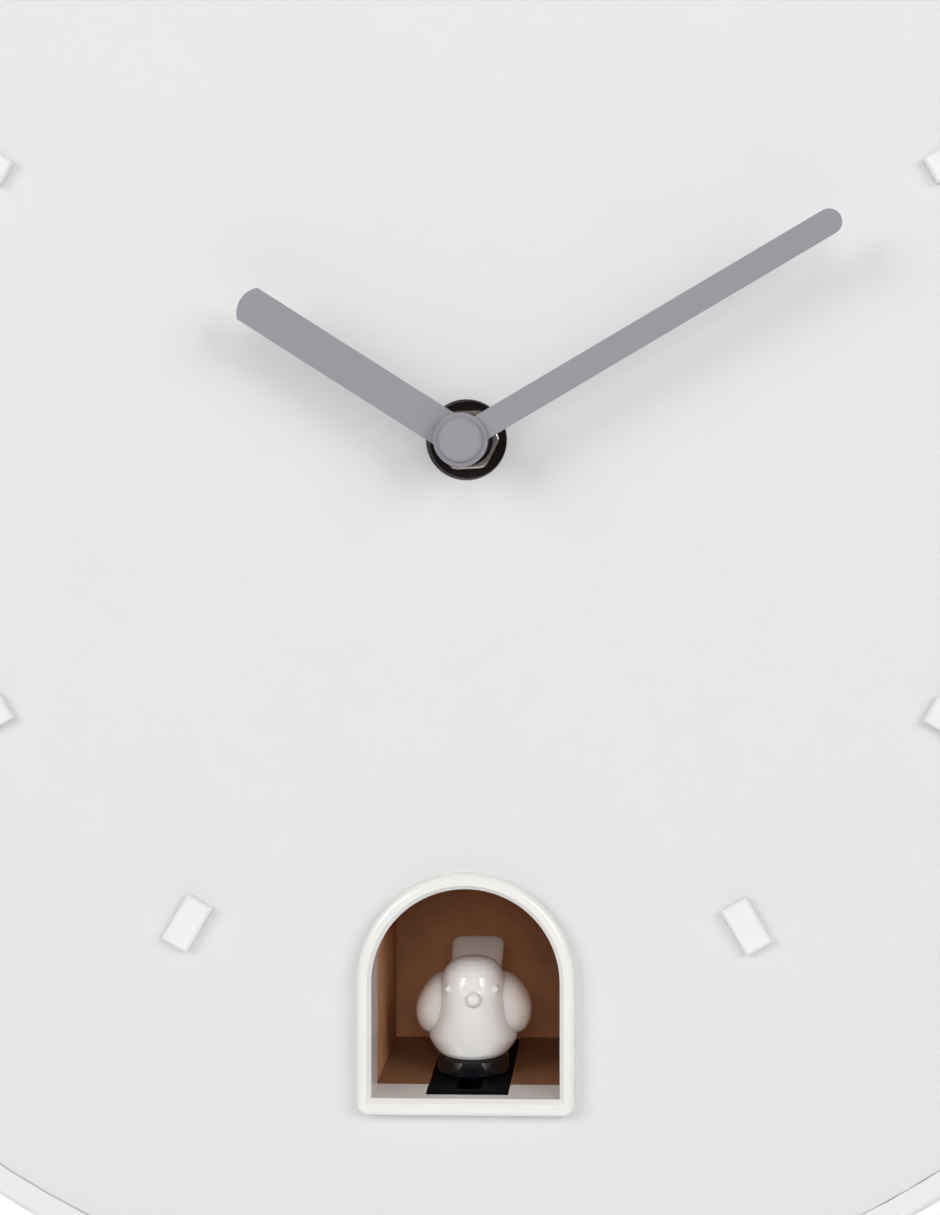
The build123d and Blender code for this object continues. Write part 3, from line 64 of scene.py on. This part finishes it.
def node(tree, kind, **settings):
    """A new node; a setting is one of its attributes or, by its name with underscores, one of its inputs."""
    made = tree.nodes.new(kind)
    for key, value in settings.items():
        if hasattr(made, key):
            setattr(made, key, value)
        else:
            made.inputs[key.replace("_", " ")].default_value = value
    return made


def noise(tree, place, scale, detail=3.0, roughness=0.55, stretch=None):
    source = place
    if stretch is not None:
        mapping = node(tree, "ShaderNodeMapping", Scale=stretch)
        link(tree, place, mapping.inputs["Vector"])
        source = mapping.outputs["Vector"]
    made = node(tree, "ShaderNodeTexNoise", Scale=scale, Detail=detail, Roughness=roughness)
    link(tree, source, made.inputs["Vector"])
    return made.outputs["Fac"]


def ranged(tree, value, start, end, low, high):
    """The value's stretch from start to end, mapped to low up to high."""
    made = node(tree, "ShaderNodeMapRange", From_Min=start, From_Max=end, To_Min=low, To_Max=high)
    link(tree, value, made.inputs["Value"])
    return made.outputs["Result"]


def spread(tree, value, low, high):
    return ranged(tree, value, NOISE_LOW, NOISE_HIGH, low, high)


def tint(tree, value, dark, light):
    made = node(tree, "ShaderNodeMix", data_type="RGBA")
    factor, dark_input, light_input = made.inputs[0], made.inputs[6], made.inputs[7]
    dark_input.default_value = (*dark, 1)
    light_input.default_value = (*light, 1)
    link(tree, value, factor)
    return made.outputs[2]


def finish_of(name, colour, rough, vary=0.02, blotch=55.0, grain=2600.0, depth=0.02, metal=0.0,
              coat=0.0, specular=0.5, stretch=None, subsurface=0.0, rough_vary=0.04):
    """A moulded, painted or metal finish: a colour that drifts a little, a fine grain, and uneven gloss."""
    made = bpy.data.materials.new(name)
    made.use_nodes = True
    tree = made.node_tree
    shader = tree.nodes["Principled BSDF"]
    place = node(tree, "ShaderNodeTexCoord").outputs["Object"]
    drift = spread(tree, noise(tree, place, blotch, 4.0), 0.0, 1.0)
    dark = tuple(c * (1 - vary) for c in colour)
    light = tuple(min(1.0, c * (1 + vary)) for c in colour)
    link(tree, tint(tree, drift, dark, light), shader.inputs["Base Color"])
    fine = noise(tree, place, grain, 2.0, 0.5, stretch)
    coarse = noise(tree, place, grain / GLOSS_COARSER, 3.0, 0.5, stretch)
    link(tree, spread(tree, coarse, rough - rough_vary, rough + rough_vary), shader.inputs["Roughness"])
    bump = node(tree, "ShaderNodeBump", Strength=BUMP_STRENGTH, Distance=depth * MM)
    link(tree, fine, bump.inputs["Height"])
    link(tree, bump.outputs["Normal"], shader.inputs["Normal"])
    shader.inputs["Metallic"].default_value = metal
    shader.inputs["Specular IOR Level"].default_value = specular
    shader.inputs["Coat Weight"].default_value = coat
    shader.inputs["Coat Roughness"].default_value = COAT_ROUGHNESS
    if subsurface:
        shader.inputs["Subsurface Weight"].default_value = subsurface
        shader.inputs["Subsurface Radius"].default_value = SUBSURFACE_RADIUS
        shader.inputs["Subsurface Scale"].default_value = SUBSURFACE_DEPTH * MM
    return made


def paint_shade_on_upward_faces(finish_name, share):
    """Painted shade: faces that look up, such as the nest's floor, take only a share of the finish's colour,
    so they read as shaded instead of lit from above.
    """
    tree = finishes[finish_name].node_tree
    base = tree.nodes["Principled BSDF"].inputs["Base Color"]
    colour = base.links[0].from_socket
    parts = node(tree, "ShaderNodeSeparateXYZ")
    link(tree, node(tree, "ShaderNodeNewGeometry").outputs["Normal"], parts.inputs["Vector"])
    shaded = node(tree, "ShaderNodeVectorMath", operation="SCALE")
    link(tree, colour, shaded.inputs["Vector"])
    link(tree, ranged(tree, parts.outputs["Z"], SHADE_SLOPE_START, SHADE_SLOPE_END, 1.0, share), shaded.inputs["Scale"])
    link(tree, shaded.outputs["Vector"], base)


FINISHES = {
    "case_white": dict(colour=(0.775, 0.765, 0.755), rough=0.33, grain=1800.0, depth=0.008, coat=0.15),
    "dial_white": dict(colour=(0.705, 0.70, 0.695), rough=0.62, vary=0.005, grain=3200.0,
                       specular=0.35),
    "marker_white": dict(colour=(0.81, 0.805, 0.80), rough=0.25, depth=0.006, coat=0.3),
    "frame_white": dict(colour=(0.80, 0.785, 0.765), rough=0.22, depth=0.006, coat=0.35),
    "nest_brown": dict(colour=(0.56, 0.27, 0.135), rough=0.5, vary=0.1, blotch=120.0, depth=0.02),
    "mechanism_black": dict(colour=(0.006, 0.007, 0.009), rough=0.14, vary=0.1, depth=0.006, coat=0.4),
    "bird_white": dict(colour=(0.81, 0.795, 0.78), rough=0.17, vary=0.01, depth=0.006, coat=0.6,
                       subsurface=0.25),
    "wing_white": dict(colour=(0.76, 0.72, 0.69), rough=0.2, vary=0.01, depth=0.006, coat=0.5,
                      subsurface=0.35),
    "hand_grey": dict(colour=(0.272, 0.266, 0.291), rough=0.48, vary=0.015, grain=3400.0, depth=0.012),
    "washer_dark": dict(colour=(0.035, 0.022, 0.02), rough=0.3, metal=0.6, vary=0.1, grain=900.0),
    "rail_black": dict(colour=(0.004, 0.0045, 0.006), rough=0.55, vary=0.1, depth=0.01, specular=0.03),
    # the shaft nut is steel; its warm brown tint is painted reflection of brown surroundings
    "nut_steel": dict(colour=(0.62, 0.53, 0.49), rough=0.13, metal=1.0, vary=0.12, blotch=300.0, grain=520.0,
                      depth=0.16),
    "screw_steel": dict(colour=(0.55, 0.55, 0.54), rough=0.3, metal=1.0, vary=0.05, grain=1500.0),
    "hanger_steel": dict(colour=(0.5, 0.5, 0.5), rough=0.36, metal=1.0, vary=0.05, grain=1500.0,
                         stretch=(1, 12, 12), depth=0.015),
    "back_white": dict(colour=(0.74, 0.74, 0.73), rough=0.6, grain=1500.0, depth=0.09),
    "movement_black": dict(colour=(0.02, 0.02, 0.021), rough=0.5, vary=0.08, grain=1500.0, depth=0.06),
    "gear_white": dict(colour=(0.72, 0.71, 0.65), rough=0.38, vary=0.03, subsurface=0.2),
    "arbor_brass": dict(colour=(0.72, 0.52, 0.2), rough=0.24, metal=1.0, vary=0.06, stretch=(1, 9, 1)),
    "rotor_magnet": dict(colour=(0.06, 0.06, 0.062), rough=0.5, metal=0.3, vary=0.15, depth=0.05),
    "stator_steel": dict(colour=(0.48, 0.48, 0.47), rough=0.33, metal=1.0, vary=0.06, stretch=(8, 1, 1)),
    "coil_copper": dict(colour=(0.66, 0.26, 0.1), rough=0.3, metal=0.9, vary=0.12, grain=5200.0,
                        stretch=(6, 0.4, 0.4), depth=0.08),
    "board_green": dict(colour=(0.015, 0.15, 0.06), rough=0.35, vary=0.2, blotch=420.0, depth=0.02, coat=0.3),
    "cone_paper": dict(colour=(0.05, 0.05, 0.05), rough=0.85, vary=0.2, blotch=700.0, depth=0.12),
    "cell_wrap": dict(colour=(0.06, 0.065, 0.08), rough=0.3, vary=0.08, coat=0.3),
    "switch_black": dict(colour=(0.03, 0.03, 0.03), rough=0.45, vary=0.08, depth=0.05),
    "button_grey": dict(colour=(0.3, 0.3, 0.32), rough=0.7, vary=0.05, depth=0.06),
    "lead_pvc": dict(colour=(0.035, 0.035, 0.04), rough=0.42, vary=0.1, depth=0.02),
}
finishes = {name: finish_of(name + "_finish", **values) for name, values in FINISHES.items()}
# painted shade: the nest's floor and its other upward faces are darkened
paint_shade_on_upward_faces("nest_brown", NEST_FLOOR_PAINTED_SHADE_SHARE)
OWN_FINISH = {"washer": "washer_dark", "bird_chassis": "rail_black"}
for node_name, cad_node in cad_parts.items():
    for cad_slot in cad_node.material_slots:
        cad_slot.material = finishes[OWN_FINISH.get(node_name, cad_slot.material.name)]


# ---------------------------------------------------------------- mesh helpers
def add_mesh(name, mesh, finish, body, smooth=True):
    made = bpy.data.objects.new(name, mesh)
    bpy.context.scene.collection.objects.link(made)
    mesh.materials.clear()
    mesh.materials.append(finishes[finish])
    if smooth:
        mesh.shade_smooth()
    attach(made, body)
    return made


def add_subdivision(piece, levels):
    rounding = piece.modifiers.new("rounding", "SUBSURF")
    rounding.levels = rounding.render_levels = levels


def bridge(work, near, far):
    """Faces between two rings of as many vertices, or from a single vertex to a ring."""
    count = max(len(near), len(far))
    for step in range(count):
        after = (step + 1) % count
        near_edge = [near[step % len(near)], near[after % len(near)]]
        far_edge = [far[after % len(far)], far[step % len(far)]]
        work.faces.new(list(dict.fromkeys(near_edge + far_edge)))


def loft(rings, ends="flat"):
    """A closed solid through rings of points: its ends are flat, or points, or looped back to the start."""
    work = bmesh.new()
    loops = [[work.verts.new(point) for point in ring] for ring in rings]
    for near, far in zip(loops, loops[1:]):
        bridge(work, near, far)
    if ends == "flat":
        work.faces.new(loops[0])
        work.faces.new(list(reversed(loops[-1])))
    elif ends == "looped":
        bridge(work, loops[-1], loops[0])
    bmesh.ops.recalc_face_normals(work, faces=work.faces)
    return work


def lathe(profile, segments, centre, deepest):
    """A closed solid turned about the upright line through centre, from (radius, height) points in mm.
    No ring reaches further than deepest from that line, front or back."""
    rings = []
    for radius, height in profile:
        ring = []
        for step in range(segments if radius else 1):
            angle = 2 * math.pi * step / segments
            offset = Vector((radius * math.cos(angle), min(radius, deepest) * math.sin(angle), height))
            ring.append(centre + offset * MM)
        rings.append(ring)
    return loft(rings, ends="points")


def ellipsoid(centre, radii, segments=32):
    work = bmesh.new()
    bmesh.ops.create_uvsphere(work, u_segments=segments, v_segments=segments // 2, radius=1.0)
    place = Matrix.Translation(centre) @ Matrix.Diagonal((*[r * MM for r in radii], 1))
    bmesh.ops.transform(work, matrix=place, verts=work.verts)
    return work


def joined(works):
    mesh = bpy.data.meshes.new("joined")
    whole = bmesh.new()
    for work in works:
        part = bpy.data.meshes.new("part")
        work.to_mesh(part)
        work.free()
        whole.from_mesh(part)
        bpy.data.meshes.remove(part)
    whole.to_mesh(mesh)
    whole.free()
    return mesh


def melted(mesh, voxel, rounds):
    """One closed skin round everything in the mesh, with its joins softened."""
    holder = bpy.data.objects.new("melt", mesh)
    bpy.context.scene.collection.objects.link(holder)
    remesh = holder.modifiers.new("remesh", "REMESH")
    remesh.mode = "VOXEL"
    remesh.voxel_size = voxel * MM
    soften = holder.modifiers.new("soften", "SMOOTH")
    soften.factor = 0.5
    soften.iterations = rounds
    seen = holder.evaluated_get(bpy.context.evaluated_depsgraph_get())
    done = bpy.data.meshes.new_from_object(seen)
    bpy.data.objects.remove(holder)
    return done


# ---------------------------------------------------------------- bird
# Places on the bird are (x, reach, height) in mm: to the right as seen from the front, forward of its upright
# axis, and above its foot.
BIRD_PROFILE = [
    (0.0, 0.0), (3.0, 0.0), (5.0, 0.0), (5.5, 0.15), (6.3, 0.8), (7.15, 1.9), (7.65, 2.8), (7.75, 3.4),
    (7.6, 4.2), (7.05, 5.6), (6.55, 7.1), (6.25, 8.6), (6.05, 10.1), (5.85, 11.6), (5.62, 13.0), (5.3, 14.2),
    (4.75, 15.2), (3.95, 16.05), (2.9, 16.65), (1.5, 17.0), (0.0, 17.1),
]
BIRD_SEGMENTS = 96
BIRD_DEEPEST = 6.0
BEAK_PLACE, BEAK_RADII = (0.4, 5.75, 10.6), (1.35, 1.25, 1.35)
EYE_SIDE, EYE_REACH, EYE_HEIGHT, EYE_RADIUS = 4.0, 3.75, 12.0, 0.8
SKIN_VOXEL, SKIN_ROUNDS = 0.16, 3

bird_foot_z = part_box("bird_body")[0].z
wing_low, wing_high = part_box("left_wing")
bird_foot = Vector((0, (wing_low.y + wing_high.y) / 2, bird_foot_z))


def bird_point(x, reach, height):
    return bird_foot + Vector((x, -reach, height)) * MM


body_works = [lathe(BIRD_PROFILE, BIRD_SEGMENTS, bird_foot, BIRD_DEEPEST)]
body_works.append(ellipsoid(bird_point(*BEAK_PLACE), BEAK_RADII))
for side in (-1, 1):
    body_works.append(ellipsoid(bird_point(side * EYE_SIDE, EYE_REACH, EYE_HEIGHT), [EYE_RADIUS] * 3))
bird_mesh = melted(joined(body_works), SKIN_VOXEL, SKIN_ROUNDS)
bird = add_mesh("bird_body_skin", bird_mesh, "bird_white", "bird")
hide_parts("bird_body")

WING_OUTLINE = [
    (3.4, 13.7), (5.2, 13.9), (7.0, 13.2), (8.4, 11.9), (9.5, 10.3), (10.1, 8.8), (10.25, 7.6), (10.1, 6.1),
    (9.5, 4.6), (8.5, 3.7), (7.0, 3.5), (5.0, 4.3), (3.6, 6.0),
]
WING_MIDDLE_X, WING_MIDDLE_HEIGHT, WING_MIDDLE_REACH = 5.6, 8.7, -1.6
WING_HALF_LENGTH = 4.6
WING_RISE = 0.5
WING_HALF_STEPS = 4
WING_FULLNESS = 2.4
WING_END_SHARE = 0.985
WING_END_WIDTH, WING_END_HEIGHT = 0.35, 0.3


def wing_rings(side):
    """Outlines of a wing from its front to its tip, slimmer towards both ends and rising backwards."""
    rings = []
    for step in range(-WING_HALF_STEPS, WING_HALF_STEPS + 1):
        sweep = step / WING_HALF_STEPS
        bulge = math.sqrt(1 - (abs(sweep) * WING_END_SHARE) ** WING_FULLNESS)
        width = WING_END_WIDTH + (1 - WING_END_WIDTH) * bulge
        tallness = WING_END_HEIGHT + (1 - WING_END_HEIGHT) * bulge
        ring = []
        for x, height in WING_OUTLINE:
            wing_x = WING_MIDDLE_X + (x - WING_MIDDLE_X) * width
            wing_height = WING_MIDDLE_HEIGHT + (height - WING_MIDDLE_HEIGHT) * tallness + WING_RISE * sweep
            ring.append(bird_point(side * wing_x, WING_MIDDLE_REACH - WING_HALF_LENGTH * sweep, wing_height))
        rings.append(ring)
    return rings


for side, wing_name in ((-1, "left_wing"), (1, "right_wing")):
    wing_mesh = joined([loft(wing_rings(side))])
    wing = add_mesh(wing_name + "_skin", wing_mesh, "wing_white", "bird")
    add_subdivision(wing, 3)
    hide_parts(wing_name)

# The tail's sections, from its root to its tip: reach, height, half width, half thickness along each axis.
TAIL_SLOPE = 0.62
TAIL_SECTIONS = [
    (2.0, 6.0, 3.6, 3.0 * TAIL_SLOPE, 3.0 * TAIL_SLOPE),
    (-3.0, 8.6, 4.1, 2.6 * TAIL_SLOPE, 2.6 * TAIL_SLOPE),
    (-7.5, 12.2, 4.5, 2.2 * TAIL_SLOPE, 2.2 * TAIL_SLOPE),
    (-11.0, 15.7, 4.85, 1.9 * TAIL_SLOPE, 1.9 * TAIL_SLOPE),
    (-12.6, 17.2, 4.9, 1.6 * TAIL_SLOPE, 1.6 * TAIL_SLOPE),
    (-13.2, 17.9, 3.9, 0.8, 0.3),
]
TAIL_QUARTER = [(1, 0), (0.93, 0.5), (0.72, 0.86), (0.36, 1), (0, 1)]
tail_outline = TAIL_QUARTER + [(-x, y) for x, y in reversed(TAIL_QUARTER[:-1])]
tail_outline += [(-x, -y) for x, y in TAIL_QUARTER[1:]] + [(x, -y) for x, y in reversed(TAIL_QUARTER[1:-1])]
tail_rings = []
for reach, height, half_width, half_reach, half_height in TAIL_SECTIONS:
    ring = []
    for x, y in tail_outline:
        ring.append(bird_point(x * half_width, reach + y * half_reach, height + y * half_height))
    tail_rings.append(ring)
tail = add_mesh("tail_skin", joined([loft(tail_rings)]), "wing_white", "bird")
add_subdivision(tail, 2)


# ---------------------------------------------------------------- shaft nut
NUT_TURN = math.radians(3.0)
NUT_HALF_FLATS, NUT_CORNER, NUT_BORE, NUT_EDGE = 5.0, 5.55, 4.05, 0.38
NUT_STEPS = 48
NUT_SIDE_ANGLE = math.pi / 3
NUT_EDGE_SEGMENTS = 3
NUT_EDGE_ANGLE = math.radians(25)


def nut_ring(reach, has_flats):
    ring = []
    for step in range(NUT_STEPS):
        angle = 2 * math.pi * step / NUT_STEPS
        radius = NUT_BORE
        if has_flats:
            from_flat = (angle + NUT_SIDE_ANGLE / 2) % NUT_SIDE_ANGLE - NUT_SIDE_ANGLE / 2
            radius = min(NUT_HALF_FLATS / math.cos(from_flat), NUT_CORNER)
        turned = angle + math.pi / 2 + NUT_TURN
        ring.append(Vector((radius * math.cos(turned) * MM, reach, radius * math.sin(turned) * MM)))
    return ring


nut_low, nut_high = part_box("shaft_nut")
nut_rings = [nut_ring(reach, has_flats) for reach, has_flats in
             ((nut_high.y, True), (nut_low.y, True), (nut_low.y, False), (nut_high.y, False))]
nut_mesh = joined([loft(nut_rings, ends="looped")])
# the nut's finish carries a warm brown tint that is painted reflection
nut = add_mesh("shaft_nut_skin", nut_mesh, "nut_steel", "case", smooth=False)
nut_edges = nut.modifiers.new("edges", "BEVEL")
nut_edges.width = NUT_EDGE * MM
nut_edges.segments = NUT_EDGE_SEGMENTS
nut_edges.limit_method = "ANGLE"
nut_edges.angle_limit = NUT_EDGE_ANGLE
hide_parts("shaft_nut")


# ---------------------------------------------------------------- light and surroundings
# name, place, aim, size, power; the fills leave no highlight of their own
LIGHTS = [
    ("softbox_left", (-1.15, -1.2, 0.5), (0, -0.05, -0.03), (0.8, 0.9), 9.0),
    ("softbox_right", (1.15, -1.2, 0.5), (0, -0.05, -0.03), (0.8, 0.9), 9.0),
    ("strip_left", (-0.95, -1.5, 0.62), (0, -0.04, -0.1), (0.26, 0.6), 2.6),
    ("strip_right", (0.95, -1.5, 0.62), (0, -0.04, -0.1), (0.26, 0.6), 2.6),
    ("fill_high", (0.05, -1.75, 0.95), (0, -0.05, -0.05), (0.9, 0.5), 4.6),
    ("fill_low", (0.1, -2.1, 0.5), (0, -0.05, -0.05), (0.9, 0.5), 6.6),
    ("softbox_back", (0.0, 1.6, 1.0), (0, 0, 0), (1.2, 1.2), 18),
]
WORLD_FILL, WORLD_FILL_COLOUR = 0.24, (0.98, 0.99, 1, 1)
FLOOR_HALF, FLOOR_Z, FLOOR_GLOW = 2.0, -0.9, 0.15


def area_light(name, place, aim, size, power):
    lamp = bpy.data.lights.new(name, "AREA")
    lamp.shape = "RECTANGLE"
    lamp.size, lamp.size_y = size
    lamp.energy = power
    holder = bpy.data.objects.new(name, lamp)
    bpy.context.scene.collection.objects.link(holder)
    holder.location = place
    holder.rotation_mode = "QUATERNION"
    holder.rotation_quaternion = (Vector(aim) - Vector(place)).to_track_quat("-Z", "Y")
    holder.visible_glossy = not name.startswith("fill")


for light_values in LIGHTS:
    area_light(*light_values)

world = bpy.data.worlds.new("studio")
bpy.context.scene.world = world
world.use_nodes = True
sky = world.node_tree
sky.nodes.clear()
seen_white = node(sky, "ShaderNodeBackground", Strength=1.0, Color=(1, 1, 1, 1))
fill_white = node(sky, "ShaderNodeBackground", Strength=WORLD_FILL, Color=WORLD_FILL_COLOUR)
choose = node(sky, "ShaderNodeMixShader")
link(sky, node(sky, "ShaderNodeLightPath").outputs["Is Camera Ray"], choose.inputs["Fac"])
link(sky, fill_white.outputs["Background"], choose.inputs[1])
link(sky, seen_white.outputs["Background"], choose.inputs[2])
link(sky, choose.outputs["Shader"], node(sky, "ShaderNodeOutputWorld").inputs["Surface"])

floor_mesh = bpy.data.meshes.new("floor")
floor_work = bmesh.new()
bmesh.ops.create_grid(floor_work, x_segments=8, y_segments=8, size=FLOOR_HALF)
bmesh.ops.translate(floor_work, vec=(0, 0, FLOOR_Z), verts=floor_work.verts)
floor_work.to_mesh(floor_mesh)
floor_work.free()
floor = bpy.data.objects.new("floor", floor_mesh)
bpy.context.scene.collection.objects.link(floor)
floor_material = bpy.data.materials.new("floor_pale")
floor_material.use_nodes = True
pale_shader = floor_material.node_tree.nodes["Principled BSDF"]
pale_shader.inputs["Base Color"].default_value = (0.9, 0.9, 0.9, 1)
pale_shader.inputs["Roughness"].default_value = 0.9
pale_shader.inputs["Emission Color"].default_value = (1, 1, 1, 1)
pale_shader.inputs["Emission Strength"].default_value = FLOOR_GLOW
floor_mesh.materials.append(floor_material)


# ---------------------------------------------------------------- camera
CAMERA_PLACE = (0.0309, -0.465, 0.0)
CAMERA_YAW = math.radians(1.64)
CAMERA_LENS = 73.19
CAMERA_SHIFT_X, CAMERA_SHIFT_Y = -0.09, -0.138
camera_data = bpy.data.cameras.new("camera")
camera = bpy.data.objects.new("camera", camera_data)
bpy.context.scene.collection.objects.link(camera)
bpy.context.scene.camera = camera
camera.location = CAMERA_PLACE
camera.rotation_euler = (math.radians(90), 0, CAMERA_YAW)
camera_data.sensor_width = 36.0
camera_data.lens = CAMERA_LENS
camera_data.shift_x = CAMERA_SHIFT_X
camera_data.shift_y = CAMERA_SHIFT_Y
camera_data.clip_start = 0.01
camera_data.clip_end = 20
bpy.context.scene.view_settings.view_transform = "Standard"
